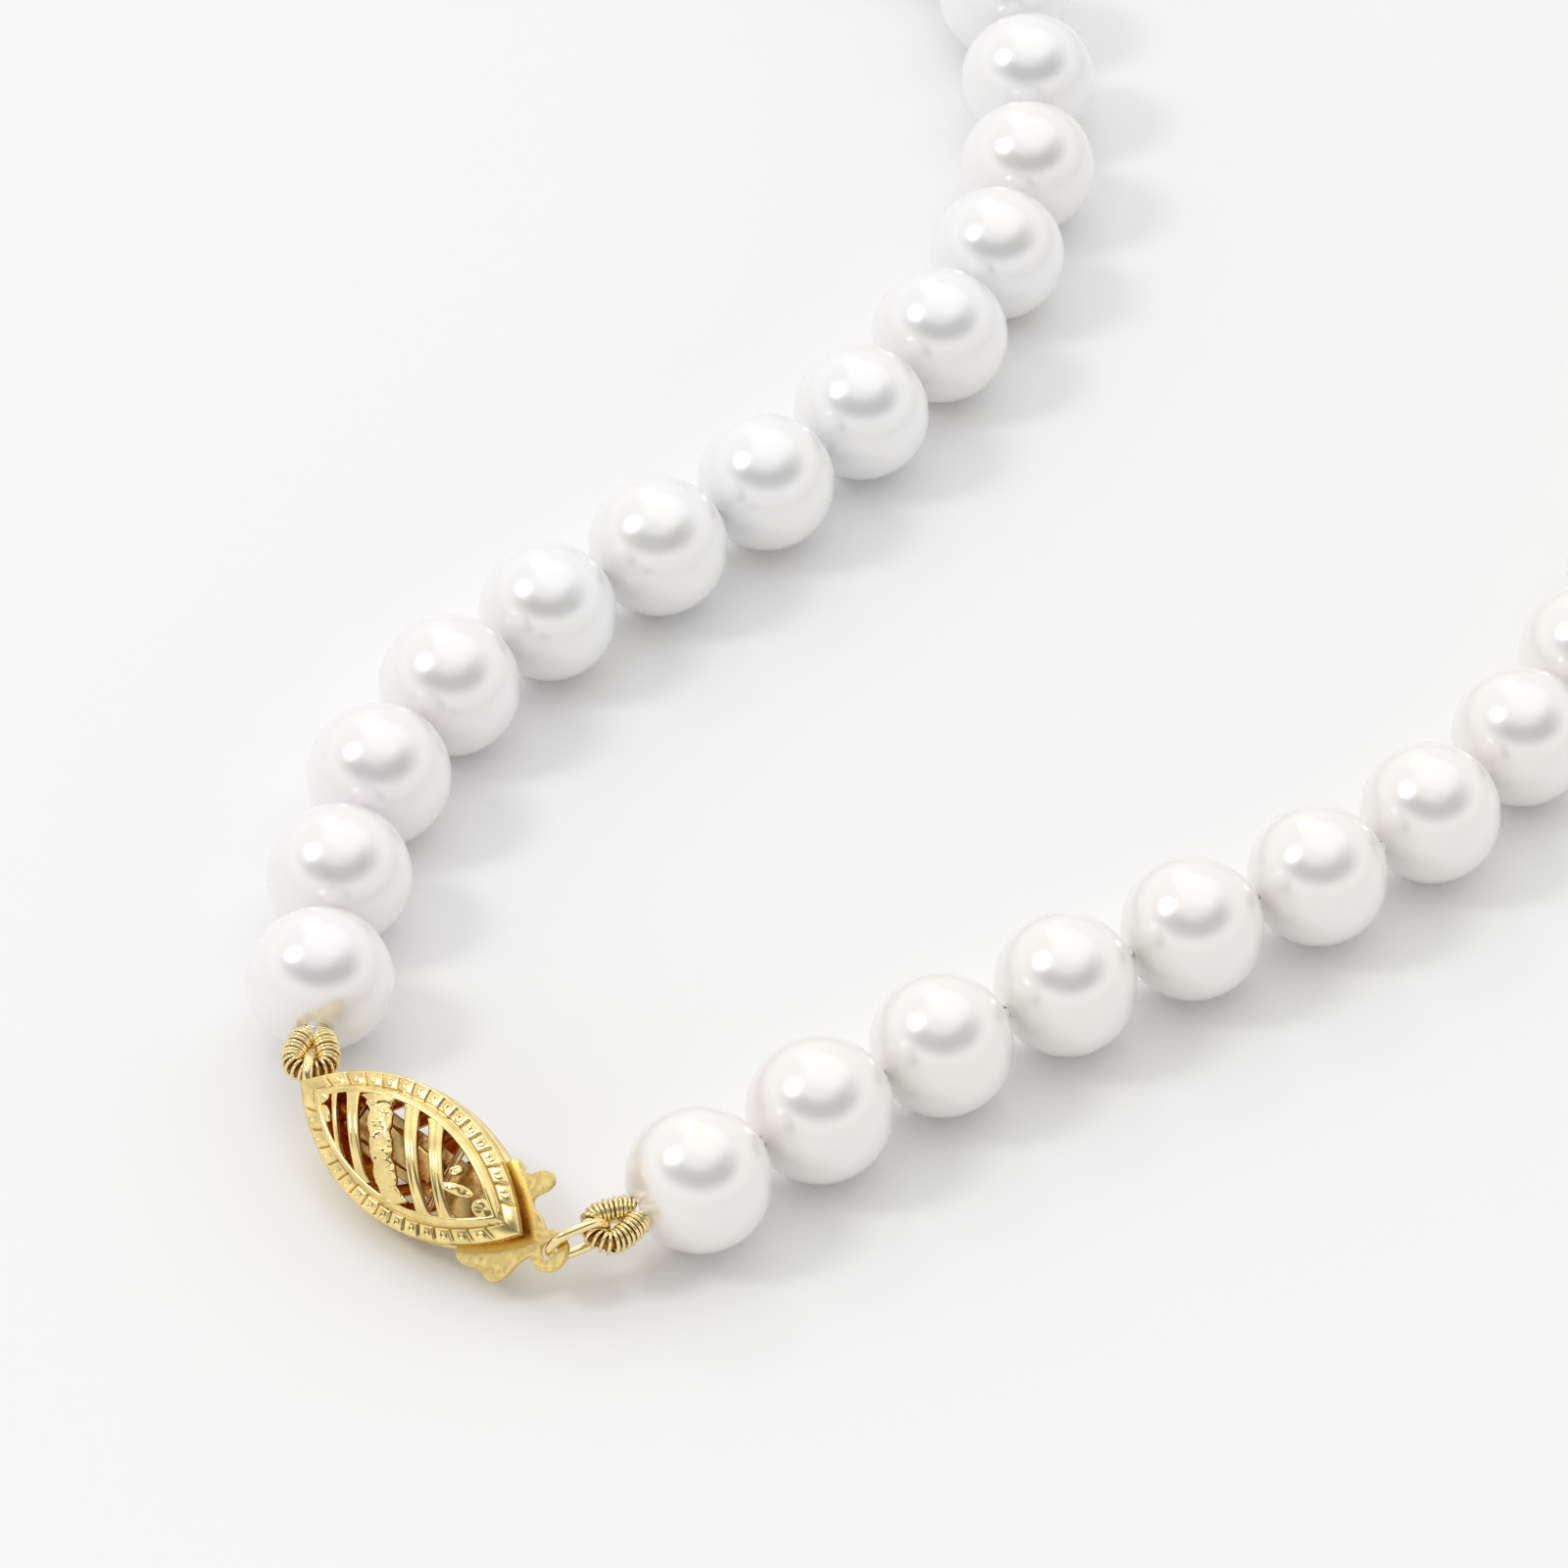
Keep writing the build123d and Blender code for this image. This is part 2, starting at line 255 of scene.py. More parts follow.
def gold(name, rough, texture, depth, tint, spread=0.1):
    """Yellow gold: its tint varies by spread, and its polish is worn unevenly."""
    material, tree, shader = new_material(name)
    coords = object_coords(tree)
    patches = noise_texture(tree, 900.0, 4.0, coords)
    low = tuple(c * (1 - spread) for c in tint)
    high = tuple(min(1.0, c * (1 + spread / 2)) for c in tint)
    colour = ramp(tree, patches, [(0.35, low), (0.65, high)])
    tree.links.new(colour, shader.inputs["Base Color"])
    worn = noise_texture(tree, 3500.0, 3.0, coords)
    gloss = ramp(tree, worn, [(0.35, (rough * 0.8,) * 3), (0.7, (rough * 1.25,) * 3)])
    tree.links.new(gloss, shader.inputs["Roughness"])
    shader.inputs["Metallic"].default_value = 1.0
    bump(tree, shader, noise_texture(tree, texture, 4.0, coords, 0.6), 0.35, depth)
    return material


def silk(name):
    """White silk: fine fibre ridges and a soft sheen."""
    material, tree, shader = new_material(name)
    coords = object_coords(tree)
    fibres = noise_texture(tree, 9000.0, 4.0, coords)
    colour = ramp(tree, fibres, [(0.3, (0.90, 0.89, 0.87)), (0.7, (0.97, 0.96, 0.94))])
    tree.links.new(colour, shader.inputs["Base Color"])
    shader.inputs["Roughness"].default_value = 0.6
    shader.inputs["Sheen Weight"].default_value = 0.5
    bump(tree, shader, fibres, 0.3, 0.00001)
    return material


ROSE = nacre("nacre_rose", (0.925, 0.90, 0.90), (0.935, 0.905, 0.92), (0.92, 0.90, 0.89))
SILVER = nacre("nacre_silver", (0.92, 0.915, 0.91), (0.91, 0.915, 0.93), (0.93, 0.90, 0.89))
CREAM = nacre("nacre_cream", (0.93, 0.91, 0.88), (0.95, 0.91, 0.89), (0.92, 0.91, 0.87))
GOLD = gold("gold_filigree", 0.15, 1500.0, 0.00002, (0.93, 0.73, 0.31), 0.18)
# deep orange-red gold for the shells' inward faces: painted reflection, standing in for light
# bounced between the gold walls inside the clasp
GOLD_PAINTED_REFLECTION = gold("gold_inside_painted_reflection", 0.25, 1500.0, 0.00003, (0.92, 0.32, 0.03))
# darker gold for the rim's cut lines, pits and the groove under the ridge: painted shade in
# those recesses
GOLD_PAINTED_SHADE = gold("gold_recess_painted_shade", 0.28, 1500.0, 0.00002, (0.52, 0.33, 0.09))
GOLD_PLATE = gold("gold_plate", 0.24, 400.0, 0.0000005, (0.79, 0.61, 0.23), 0.02)
GOLD_WIRE = gold("gold_wire", 0.14, 1800.0, 0.00001, (0.97, 0.80, 0.42))
# dark gold for the tube inside the bullion coils: painted shade between the wire's turns
GOLD_PAINTED_SHADE_CORE = gold("gold_wire_core_painted_shade", 0.4, 1800.0, 0.00001, (0.34, 0.15, 0.03))
SILK = silk("white_silk")


# ---- pearls --------------------------------------------------------------------------
def centre_of(node):
    low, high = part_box(node)
    return (low + high) / 2


def knot_before(k):
    """The hinge point where pearl k hangs on its neighbour, in metres."""
    return Vector(hinge_of["pearl_%02d" % k]["pos_m"])


def bore_way(k):
    """The direction of pearl k's drilled bore."""
    way = centre_of("pearl_%02d" % k) - knot_before(k)
    way.z = 0
    return way.normalized()


ROSE_PEARLS = 4  # the first few from the clasp, on the left


def pearl_material(k):
    if k <= ROSE_PEARLS:
        return ROSE
    return SILVER if k <= half else CREAM


SWELL = 0.0045  # of the radius: broad unevenness
RIPPLE = 0.0012  # and finer


def make_pearl(k):
    """Pearl k: nearly round, gently uneven, slightly shorter along its bore."""
    node = "pearl_%02d" % k
    low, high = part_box(node)
    centre = (low + high) / 2
    r = (high.z - low.z) / 2
    way = bore_way(k)
    side = way.cross(Vector((0, 0, 1))).normalized()
    up = side.cross(way)
    rows, cols = 56, 72
    mouth = MOUTH_RADIUS * MM
    lip = math.asin(mouth / r)
    squeeze = 0.018 + 0.014 * math.sin(1.7 * k)
    rings = []
    for i in range(rows):
        angle = lip + (math.pi - 2 * lip) * i / (rows - 1)
        rings.append((r * math.cos(angle), r * math.sin(angle), True))
    edge = r * math.cos(lip)
    bore = BORE_RADIUS * MM
    inner = [(-edge + MOUTH_DEPTH * MM, bore, False), (edge - MOUTH_DEPTH * MM, bore, False)]
    points = []
    for along, out, skin in rings + inner:
        for j in range(cols):
            a = 2 * math.pi * j / cols
            offset = way * along + (side * math.cos(a) + up * math.sin(a)) * out
            if skin:
                unit = offset.normalized()
                seed = unit * 1.15 + Vector((3.1 * k, 1.7 * k, 0.9 * k))
                swell = noise.noise(seed) * SWELL + noise.noise(seed * 2.7) * RIPPLE
                ends = min(1.0, (out - mouth) / (0.5 * r))
                shrink = 1 - 0.006 + swell * ends
                offset = offset * shrink - way * along * squeeze
            points.append(centre + offset)
    faces = grid_faces(rows + 2, cols, wrap_cols=True, wrap_rows=True)
    ob = object_from(node + "_nacre", points, faces, pearl_material(k), node)
    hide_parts(node)


KNOT_RING = 0.22
KNOT_LOBE = 0.09
KNOT_HALF_LENGTH = 0.15
KNOT_TURN = 1.3  # radians that each knot is turned further than the last
LAST_KNOT_TURN = 0.4
THREAD_TURNS = 4.5  # of the plies in one pearl


def knot_course(centre, way, turn):
    """A small tight knot: a trefoil of thread round the strand."""
    side = way.cross(Vector((0, 0, 1))).normalized()
    up = side.cross(way)
    out = []
    for n in range(60):
        t = 2 * math.pi * n / 60
        ring = KNOT_RING + KNOT_LOBE * math.cos(3 * t)
        a = 2 * t + turn
        along = KNOT_HALF_LENGTH * math.sin(3 * t)
        spoke = side * math.cos(a) + up * math.sin(a)
        out.append(centre + spoke * ring * MM + way * along * MM)
    return out


def make_silk(k):
    """The silk inside pearl k and the knot that it is held by."""
    centre = centre_of("pearl_%02d" % k)
    start = knot_before(k)
    way = bore_way(k)
    up = Vector((0, 0, 1))
    side = way.cross(up).normalized()
    end = centre + (centre - start)
    end.z = start.z
    parts = []
    for ply in (0, 1):
        course = []
        for n in range(41):
            t = n / 40
            a = 2 * THREAD_TURNS * math.pi * t + math.pi * ply
            off = (side * math.cos(a) + up * math.sin(a)) * PLY_OFFSET * MM
            course.append(start.lerp(end, t) + off)
        parts.append(tube(course, PLY_RADIUS * MM, 7))
    knots = [(start, KNOT_TURN * k)]
    if k == half:
        knots.append((end, LAST_KNOT_TURN))  # the open pivot's own knot
    for place, turn in knots:
        course = knot_course(place, way, turn)
        parts.append(tube(course, KNOT_PLY_RADIUS * MM, 8, closed=True))
    points, faces = joined(parts)
    ob = object_from("silk_%02d" % k, points, faces, SILK, "pearl_%02d" % k)
    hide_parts("silk_thread", "silk_knots")


for k in range(1, len(pearls) + 1):
    make_pearl(k)
    make_silk(k)


# ---- the clasp's own frame: X along it, Y across, Z out of its face, millimetres ------
low_a, high_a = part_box("clasp_top_shell")
low_b, high_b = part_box("clasp_bottom_shell")
clasp_low = Vector(tuple(map(min, low_a, low_b)))
clasp_high = Vector(tuple(map(max, high_a, high_b)))
clasp_centre = (clasp_low + clasp_high) / 2
clasp_x = -Vector(joints["tongue_slide"]["axis"]).normalized()
clasp_y = Vector(joints["leaf_press"]["axis"]).normalized()
clasp_z = clasp_x.cross(clasp_y)


def in_clasp(p):
    return clasp_centre + (clasp_x * p[0] + clasp_y * p[1] + clasp_z * p[2]) * MM


# The outline is two arcs of radius ARC. The dome's radii are ACROSS and ALONG it.
HALF_LONG = HOUSING_LENGTH / 2
HALF_WIDE = HOUSING_WIDTH / 2
ARC = (HALF_LONG**2 + HALF_WIDE**2) / (2 * HALF_WIDE)
DOME_LONG = HALF_LONG - RIM_WIDTH
DOME_WIDE = HALF_WIDE - RIM_WIDTH
ACROSS = (DOME_WIDE**2 + DOME_RISE**2) / (2 * DOME_RISE)
ALONG = (DOME_LONG**2 + DOME_RISE**2) / (2 * DOME_RISE)


def tip(inset):
    """Where the outline, drawn in by inset, meets the long axis."""
    return math.sqrt((ARC - inset) ** 2 - (ARC - HALF_WIDE) ** 2)


def edge_y(x, inset):
    """The half width at x of the outline drawn in by inset."""
    return math.sqrt(max(0.0, (ARC - inset) ** 2 - x * x)) - (ARC - HALF_WIDE)


def inset_at(x, y):
    """How far inside the outline a point lies."""
    return ARC - math.hypot(x, abs(y) + ARC - HALF_WIDE)


def dome_z(x, y):
    """The dome's height."""
    sag = ALONG - math.sqrt(max(0.0, ALONG**2 - x * x))
    radius = ACROSS - sag
    return RIM_TOP + DOME_RISE - ACROSS + math.sqrt(max(0.01, radius**2 - y * y))


def smoothstep(a, b, x):
    t = min(1.0, max(0.0, (x - a) / (b - a)))
    return t * t * (3 - 2 * t)


SQUARES = 16
SQUARE_STEPS = 18


def rim_relief(place, across):
    """Depth of the stamped pattern: a cut line between squares, a ringed dot in each."""
    cell = (place * SQUARES) % 1.0
    near_tip = min(place, 1 - place) * SQUARES
    line = 1 - smoothstep(0.0, 0.085, min(cell, 1 - cell))
    line *= smoothstep(0.5, 0.9, near_tip)
    dot = math.hypot((cell - 0.5) * 0.95, (across - 0.5) * 0.66)
    dot += 0.5 * (1 - smoothstep(0.9, 1.1, near_tip))
    pit = 1 - smoothstep(0.04, 0.09, dot)
    lip = smoothstep(0.08, 0.12, dot) * (1 - smoothstep(0.13, 0.19, dot))
    pillow = 0.025 * math.sin(math.pi * cell) * math.sin(math.pi * across)
    return pillow - 0.11 * line * smoothstep(0.0, 0.2, across) - 0.09 * pit + 0.03 * lip


def rim_band(flip, seam):
    """The shell's stamped rim, groove and inner ridge, swept round both arcs."""
    profile = []
    for n in range(9):
        across = n / 8
        profile.append(("band", 0.03 + across * 0.68, across))
    profile += [("ridge", 0.76, -0.07), ("ridge", 0.84, 0.03), ("ridge", 0.94, 0.10)]
    profile += [("ridge", 1.06, 0.11), ("ridge", 1.18, 0.05), ("ridge", 1.24, -0.06)]
    profile += [("ridge", 1.22, -0.20), ("ridge", 0.95, -0.30)]
    profile += [("under", 0.62, 0.08), ("under", 0.40, 0.0), ("under", 0.02, 0.0)]
    profile += [("edge", 0.0, 0.5)]
    count = SQUARES * SQUARE_STEPS
    points = []
    for side in (1, -1):
        for i in range(count + 1 if side == 1 else count - 1):
            step = i if side == 1 else count - 1 - i
            place = step / count
            for kind, inset, value in profile:
                reach = tip(inset)
                x = reach * (2 * place - 1)
                y = side * edge_y(x, inset)
                foot = seam(x)
                if kind == "band":
                    z = RIM_TOP - 0.10 + 0.12 * value + rim_relief(place, value)
                elif kind == "ridge":
                    z = max(RIM_TOP - 0.12, dome_z(x, y)) + value
                elif kind == "under":
                    z = foot + value
                else:
                    z = foot + (RIM_TOP - 0.14 - foot) * value
                points.append(in_clasp((x, y * flip, z * flip)))
    cols = len(profile)
    rows = len(points) // cols
    faces = grid_faces(rows, cols, wrap_cols=True, wrap_rows=True)
    return points, faces


BAR_WAY = Vector((0.667, -0.745))
BAR_SIDE = Vector((0.745, 0.667))
BAR_END_INSET = 1.02
BAR_STEP = 0.02
LONGEST_REACH = 8.0
FLARE = 0.55  # a bar's widening where it meets the ridge
FLARE_LENGTH = 0.28


def bar_span(place, inset):
    """How far a bar through (place, 0) runs each way before it meets the ridge."""
    ends = []
    for sign in (-1, 1):
        s = 0.0
        while s < LONGEST_REACH:
            x = place + BAR_WAY.x * s * sign
            y = BAR_WAY.y * s * sign
            if inset_at(x, y) < inset:
                break
            s += BAR_STEP
        ends.append(s * sign)
    return ends


def bar(flip, place, width, shape, lift=0.0, steps=40):
    """A filigree bar over the dome; shape gives its widening and height at (s, u)."""
    first, last = bar_span(place, BAR_END_INSET)
    cols = 13
    points = []
    for i in range(steps + 1):
        s = first + (last - first) * i / steps
        flare = FLARE * math.exp(-min(s - first, last - s) / FLARE_LENGTH)
        across = [(-1 + 2 * j / (cols - 1), True) for j in range(cols)]
        across += [(1, False), (0, False), (-1, False)]
        for u, face in across:
            grow, top = shape(s, u)
            off = u * width / 2 * (grow + flare) * (1 if face else 0.9)
            x = place + BAR_WAY.x * s + BAR_SIDE.x * off
            y = BAR_WAY.y * s + BAR_SIDE.y * off
            height = top + lift if face else -SHELL_WALL
            points.append(in_clasp((x, y * flip, (dome_z(x, y) + height) * flip)))
    cols = len(across)
    faces = grid_faces(steps + 1, cols, wrap_cols=True)
    faces.append(tuple(reversed(range(cols))))
    faces.append(tuple(range(steps * cols, (steps + 1) * cols)))
    return points, faces


def grooved(s, u):
    """A smooth bar with a shallow groove along its middle."""
    crown = 0.10 * math.sqrt(max(0.0, 1 - u * u))
    groove = 0.06 * math.exp(-((u + 0.15) / 0.22) ** 2)
    return 1.0, crown - groove - 0.05


def thin(s, u):
    """A plain round wire."""
    return 1.0, 0.09 * math.sqrt(max(0.0, 1 - u * u)) - 0.05


def bark(s, u):
    """The wide middle bar: a lumpy, folded surface with a wavy edge."""
    wave = 1 + 0.10 * math.sin(4.6 * s) + 0.05 * math.sin(9.3 * s + 1)
    folds = noise.noise(Vector((s * 2.6, u * 1.1, 4.0)))
    fine = noise.noise(Vector((s * 7.0, u * 3.5, 9.0)))
    round_off = math.sqrt(max(0.0, 1 - u**4))
    return wave, 0.12 * round_off - 0.06 + 0.16 * folds + 0.05 * fine


def lump(flip, cx, cy, long, wide, turn, seed, height=0.12):
    """A textured nugget soldered into the filigree, bridging two bars."""
    rows, cols = 14, 28
    points = []
    ca, sa = math.cos(math.radians(turn)), math.sin(math.radians(turn))
    for i in range(rows + 1):
        rho = i / rows
        for j in range(cols):
            a = 2 * math.pi * j / cols
            wobble = 1 + 0.16 * noise.noise(Vector((math.cos(a), math.sin(a), seed)))
            u = rho * math.cos(a) * long * wobble
            v = rho * math.sin(a) * wide * wobble
            x, y = cx + u * ca - v * sa, cy + u * sa + v * ca
            crown = height * math.sqrt(max(0.0, 1 - rho**3))
            rough = 0.10 * noise.noise(Vector((x * 2.4, y * 2.4, seed)))
            z = dome_z(x, y) + crown + rough - 0.06
            points.append(in_clasp((x, y * flip, z * flip)))
    for j in range(cols):
        a = 2 * math.pi * j / cols
        u, v = 0.85 * math.cos(a) * long, 0.85 * math.sin(a) * wide
        x, y = cx + u * ca - v * sa, cy + u * sa + v * ca
        points.append(in_clasp((x, y * flip, (dome_z(x, y) - SHELL_WALL) * flip)))
    faces = grid_faces(rows + 2, cols, wrap_cols=True)
    faces.append(tuple(range((rows + 1) * cols, (rows + 2) * cols)))
    return points, faces


def shell_parts(flip, seam):
    """One shell: its rim, then its bars and nuggets. flip is -1 for the bottom one."""
    parts = [rim_band(flip, seam)]
    for place in (-3.3, 0.95, 2.6):
        parts.append(bar(flip, place, 0.66, grooved))
    parts.append(bar(flip, -4.75, 0.30, thin))
    parts.append(bar(flip, -1.25, 1.30, bark, lift=0.03, steps=90))
    parts.append(lump(flip, -5.15, -0.55, 0.62, 0.36, -12, 1.0))
    parts.append(lump(flip, -5.95, 0.05, 0.55, 0.50, 0, 2.0))
    parts.append(lump(flip, 3.75, 0.10, 0.95, 0.30, 14, 3.0))
    parts.append(lump(flip, 3.15, 0.85, 0.34, 0.26, 40, 4.0, 0.09))
    parts.append(lump(flip, 5.60, 0.0, 0.85, 0.55, 0, 5.0))
    return parts


def top_seam(x):
    """Half the gap between the shells, which opens to the tongue's slit."""
    return SLIT_HALF * smoothstep(2.6, 6.3, x)


def bottom_seam(x):
    return SLIT_HALF * smoothstep(2.6, 4.3, x)


PAINTED_REFLECTION_INDEX = 1
PAINTED_SHADE_INDEX = 2


def make_shell(name, flip, seam, node):
    points, faces = joined(shell_parts(flip, seam))
    ob = object_from(name, points, faces, GOLD, "clasp")
    ob.data.materials.append(GOLD_PAINTED_REFLECTION)
    ob.data.materials.append(GOLD_PAINTED_SHADE)
    out = clasp_z * flip
    for poly in ob.data.polygons:
        place = (poly.center - clasp_centre) / MM
        inset = inset_at(place.dot(clasp_x), place.dot(clasp_y))
        facing = poly.normal.dot(out)
        drop = RIM_TOP - 0.10 + 0.18 * inset - place.dot(out)
        # inward-facing faces get the painted reflection gold
        if inset > 0.35 and facing < -0.15:
            poly.material_index = PAINTED_REFLECTION_INDEX
        # faces sunk into the rim's pattern, its groove and the ridge's inner foot get the
        # painted shade gold
        elif inset < 0.70 and facing > 0.1 and 0.035 < drop < 0.3:
            poly.material_index = PAINTED_SHADE_INDEX
        elif 0.70 < inset < 0.80 or (inset > 1.26 and facing < 0.45):
            poly.material_index = PAINTED_SHADE_INDEX
    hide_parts(node)


make_shell("filigree_top", 1, top_seam, "clasp_top_shell")
make_shell("filigree_bottom", -1, bottom_seam, "clasp_bottom_shell")


# ---- tongue and leaf -----------------------------------------------------------------
def plate_outline():
    """The tongue's edge, in the clasp's X and Y: two scalloped wings and the eye."""
    far = [
        (TONGUE_BACK, 0.95), (TONGUE_BACK + 0.25, 1.2), (-2.0, 1.2), (1.0, 1.2), (3.6, 1.2),
        (4.15, 1.45), (4.30, 2.05), (4.42, 2.55), (4.75, 2.78), (5.12, 2.68), (5.42, 2.46),
        (5.85, 2.62), (6.30, 3.05), (6.78, 3.16), (7.12, 2.86), (7.05, 2.42), (6.75, 2.02),
        (6.62, 1.62), (6.95, 1.25), (7.50, 1.10), (7.95, 0.84),
    ]
    eye = []
    for n in range(17):
        a = math.radians(138 - 276 * n / 16)
        eye.append((EYE_PLACE + EYE_RADIUS * math.cos(a), EYE_RADIUS * math.sin(a)))
    near = [
        (7.90, -1.02), (7.72, -1.42), (7.62, -1.90), (7.44, -2.42), (7.06, -2.80),
        (6.64, -2.86), (6.28, -2.70), (5.80, -2.72), (5.25, -2.90), (4.78, -2.86),
        (4.46, -2.58), (4.34, -2.05), (4.22, -1.45), (3.6, -1.2), (1.0, -1.2), (-2.0, -1.2),
        (TONGUE_BACK + 0.25, -1.2), (TONGUE_BACK, -0.95),
    ]
    return far + eye + near


def make_tongue():
    """The flat plate, its edges rounded, with the eye's hole."""
    outline = plate_outline()
    curve = bpy.data.curves.new("tongue_outline", "CURVE")
    curve.dimensions = "2D"
    curve.fill_mode = "BOTH"
    curve.extrude = (TONGUE_THICKNESS / 2 - TONGUE_EDGE) * MM
    curve.bevel_depth = TONGUE_EDGE * MM
    curve.bevel_resolution = 2
    rim = smooth_path([(x, y, 0) for x, y in outline], 4, closed=True)
    hole = []
    for j in range(40):
        a = 2 * math.pi * j / 40
        hole.append(Vector((EYE_PLACE + EYE_HOLE * math.cos(a), EYE_HOLE * math.sin(a), 0)))
    for ring in (rim, hole):
        spline = curve.splines.new("POLY")
        spline.points.add(len(ring) - 1)
        for point, p in zip(spline.points, ring):
            point.co = (p.x * MM, p.y * MM, 0, 1)
        spline.use_cyclic_u = True
    flat = bpy.data.objects.new("tongue_flat", curve)
    mesh = bpy.data.meshes.new_from_object(flat)
    middle = (TONGUE_BOTTOM + TONGUE_BOTTOM + TONGUE_THICKNESS) / 2
    for v in mesh.vertices:
        v.co = in_clasp((v.co.x / MM, v.co.y / MM, v.co.z / MM + middle))
    mesh.materials.clear()
    mesh.materials.append(GOLD_PLATE)
    ob = bpy.data.objects.new("tongue", mesh)
    bpy.context.scene.collection.objects.link(ob)
    bpy.data.objects.remove(flat)
    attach(ob, "tongue")
    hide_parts("tongue_plate")


def make_leaf():
    """The sprung leaf, folded back over the tongue, with an upturned pressing end."""
    floor = TONGUE_BOTTOM + TONGUE_THICKNESS + 0.02
    course = smooth_path(
        [(TONGUE_BACK + 0.2, floor + 0.03), (TONGUE_BACK + 1.2, floor + 0.10),
         (TONGUE_BACK + 3.4, floor + 0.24), (TONGUE_BACK + 5.0, floor + 0.34),
         (TONGUE_BACK + 5.7, floor + 0.37)],
        6,
    )
    cols = 9
    points = []
    for n, p in enumerate(course):
        t = n / (len(course) - 1)
        wide = LEAF_HALF_WIDTH - 0.18 * t
        for j in range(cols):
            y = wide * (-1 + 2 * j / (cols - 1))
            points.append(in_clasp((p[0], y, p[1] + LEAF_THICKNESS - 0.03 * abs(y))))
        for j in range(cols):
            y = wide * (1 - 2 * j / (cols - 1))
            points.append(in_clasp((p[0], y, p[1])))
    faces = grid_faces(len(course), 2 * cols, wrap_cols=True)
    faces.append(tuple(reversed(range(2 * cols))))
    faces.append(tuple(range((len(course) - 1) * 2 * cols, len(course) * 2 * cols)))
    ob = object_from("spring_leaf", points, faces, GOLD_PLATE, "spring_leaf")
    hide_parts("tongue_spring_leaf")


make_tongue()
make_leaf()


# ---- rings and gimps -----------------------------------------------------------------
COIL_NARROWING = 0.09
COIL_RISE = 0.08
LEG_SWELL = 0.44  # the coil is fuller along its two legs than round the bend
END_SIZE = 0.58  # and small at its very ends
END_GROWTH = 0.42


def make_gimp(side):
    """Bullion: fine wire wound round the silk's end loop, both ends at the pearl."""
    node = "gimp_" + side
    centre = centre_of(node)
    pearl = 1 if side == "left" else len(pearls)
    to_pearl = centre_of("pearl_%02d" % pearl) - centre
    way = to_pearl.normalized()
    face = Vector((0, 0, 1)) if side == "left" else clasp_z
    across = face.cross(way).normalized()
    loop = [(1.86, 0.18), (1.34, 0.46), (0.75, 0.70), (0.05, 0.86), (-0.60, 0.76)]
    loop += [(-0.98, 0.0)] + [(x, -y) for x, y in reversed(loop)]
    core = smooth_path([(x * MM, y * MM, 0) for x, y in loop], 40)
    length = sum((b - a).length for a, b in zip(core, core[1:]))
    turns = round(length / (WRAP_PITCH * MM))
    wire = []
    steps = turns * 16
    normal_up = (face - way * face.dot(way)).normalized()
    for n in range(steps + 1):
        t = n / steps * (len(core) - 1)
        i = min(int(t), len(core) - 2)
        p = core[i].lerp(core[i + 1], t - i)
        d = (core[i + 1] - core[i]).normalized()
        out = Vector((d.y, -d.x, 0))
        a = 2 * math.pi * turns * n / steps
        turn = int(a / (2 * math.pi))
        loose = 1 + 0.035 * math.sin(2.9 * turn) + 0.02 * math.sin(7.1 * turn)
        to_end = min(n, steps - n) / steps
        swell = 1.0 + LEG_SWELL * (1 - smoothstep(0.22, 0.46, to_end))
        fade = END_SIZE + END_GROWTH * min(1.0, 9 * to_end)
        r = (GIMP_TUBE - COIL_NARROWING) * fade * loose * swell * MM
        q = p + out * math.cos(a) * r
        up = math.sin(a) * (GIMP_TUBE + COIL_RISE) * fade * loose * MM
        wire.append(centre + way * q.x + across * q.y + normal_up * up)
    points, faces = tube(wire, WRAP_RADIUS * MM, 6)
    ob = object_from("bullion_" + side, points, faces, GOLD_WIRE, node)
    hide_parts(node)
    # a dark gold tube along the coil's middle, seen between the turns: painted shade
    shade_course = [centre + way * p.x + across * p.y for p in core[::6]]
    points, faces = tube(shade_course, SHADE_CORE_RADIUS * MM, 12)
    inner = object_from("bullion_core_painted_shade_" + side, points, faces, GOLD_PAINTED_SHADE_CORE, node)


make_gimp("left")
make_gimp("right")

# drawn as they are in CAD
for node in ("clasp_end_ring", "jump_ring", "clasp_catch_bar"):
    ob = frame["nodes"][node]
    ob.data.materials.clear()
    ob.data.materials.append(GOLD_WIRE)
    for poly in ob.data.polygons:
        poly.use_smooth = True


# ---- floor, light and camera ---------------------------------------------------------
def make_floor():
    material, tree, shader = new_material("floor_white")
    coords = object_coords(tree)
    clouds = noise_texture(tree, 3.0, 1.0, coords)
    tone = ramp(tree, clouds, [(0.4, (0.93,) * 3), (0.6, (0.935,) * 3)])
    tree.links.new(tone, shader.inputs["Base Color"])
    shader.inputs["Roughness"].default_value = 0.9
    shader.inputs["Specular IOR Level"].default_value = 0.0
    size = 4.0
    mesh = bpy.data.meshes.new("floor")
    corners = [(-size, -size, 0), (size, -size, 0), (size, size, 0), (-size, size, 0)]
    mesh.from_pydata(corners, [], [(0, 1, 2, 3)])
    mesh.materials.append(material)
    floor = bpy.data.objects.new("floor", mesh)
    floor.location.z = cad_box[0][2] - FLOOR_GAP
    bpy.context.scene.collection.objects.link(floor)


def softbox(name, way, distance, size, power, target):
    """A round soft light, that way from the target and facing it."""
    light = bpy.data.lights.new(name, "AREA")
    light.shape = "DISK"
    light.size = size
    light.energy = power
    ob = bpy.data.objects.new(name, light)
    ob.location = target + Vector(way).normalized() * distance
    ob.rotation_euler = (target - ob.location).to_track_quat("-Z", "Y").to_euler()
    bpy.context.scene.collection.objects.link(ob)


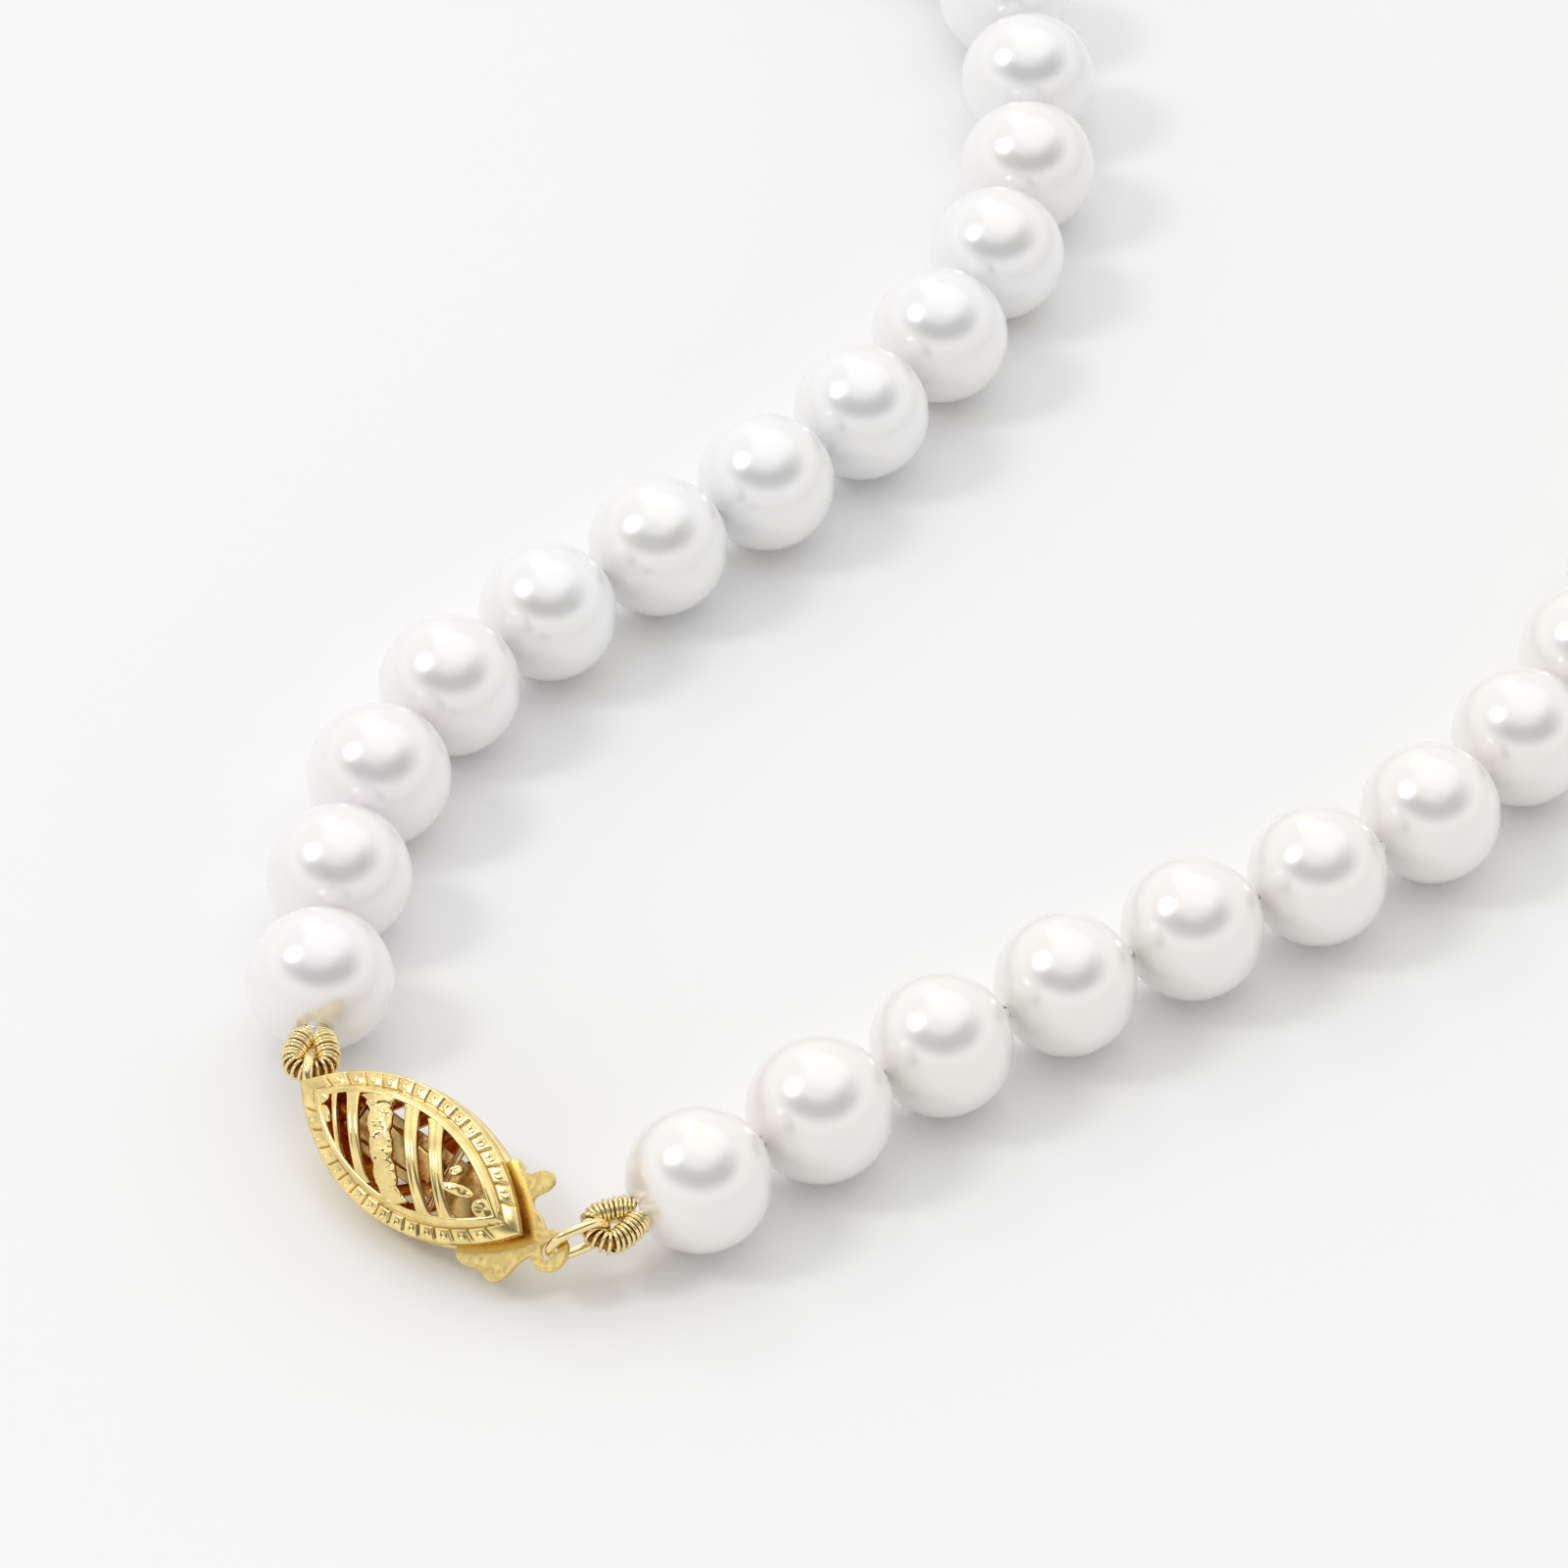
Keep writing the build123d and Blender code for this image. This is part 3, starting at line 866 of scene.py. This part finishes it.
make_floor()
aim = Vector((clasp_centre.x + AIM_X * MM, clasp_centre.y + AIM_Y * MM, 0.0))
softbox("overhead", (0.16, 0.30, 0.94), 1.2, 1.40, 1.5, aim)
softbox("key", (-0.64, -0.06, 0.77), 1.3, 0.34, 2.8, aim)
softbox("sparkle", (-0.20, 0.72, 0.66), 1.0, 0.13, 0.32, aim)

world = bpy.data.worlds.new("studio")
world.use_nodes = True
tree = world.node_tree
where = tree.nodes.new("ShaderNodeTexCoord")
split = tree.nodes.new("ShaderNodeSeparateXYZ")
tree.links.new(where.outputs["Generated"], split.inputs["Vector"])
sky = ramp(
    tree, split.outputs["Z"],
    [(0.0, (0.80, 0.78, 0.77)), (0.25, (0.99, 0.985, 0.975)), (0.60, (0.93, 0.925, 0.92)),
     (1.0, (0.88, 0.88, 0.88))],
)
# the unlit wall high above the table, on its -Y side
band = ramp(
    tree, split.outputs["Z"],
    [(0.40, (0,) * 3), (0.58, (1,) * 3), (0.80, (1,) * 3), (0.90, (0,) * 3)],
)
front = tree.nodes.new("ShaderNodeMapRange")
front.inputs["From Min"].default_value = 0.40
front.inputs["From Max"].default_value = -0.35
tree.links.new(split.outputs["Y"], front.inputs["Value"])
amount = tree.nodes.new("ShaderNodeMath")
amount.operation = "MULTIPLY"
tree.links.new(band, amount.inputs[0])
tree.links.new(front.outputs["Result"], amount.inputs[1])
wall = tree.nodes.new("ShaderNodeMix")
wall.data_type = "RGBA"
tree.links.new(amount.outputs["Value"], wall.inputs["Factor"])
tree.links.new(sky, wall.inputs[6])
wall.inputs[7].default_value = (0.18, 0.18, 0.18, 1.0)
tree.links.new(wall.outputs[2], tree.nodes["Background"].inputs["Color"])
tree.nodes["Background"].inputs["Strength"].default_value = 1.06
bpy.context.scene.world = world
bpy.context.scene.view_settings.view_transform = "Standard"

camera_data = bpy.data.cameras.new("camera")
camera_data.sensor_width = 36.0
camera_data.lens = LENS
camera_data.clip_start = 0.01
camera = bpy.data.objects.new("camera", camera_data)
pitch = math.radians(VIEW_ELEVATION)
camera.location = aim + Vector((0, -math.cos(pitch), math.sin(pitch))) * VIEW_DISTANCE
camera.rotation_euler = (math.pi / 2 - pitch, 0, 0)
bpy.context.scene.collection.objects.link(camera)
bpy.context.scene.camera = camera
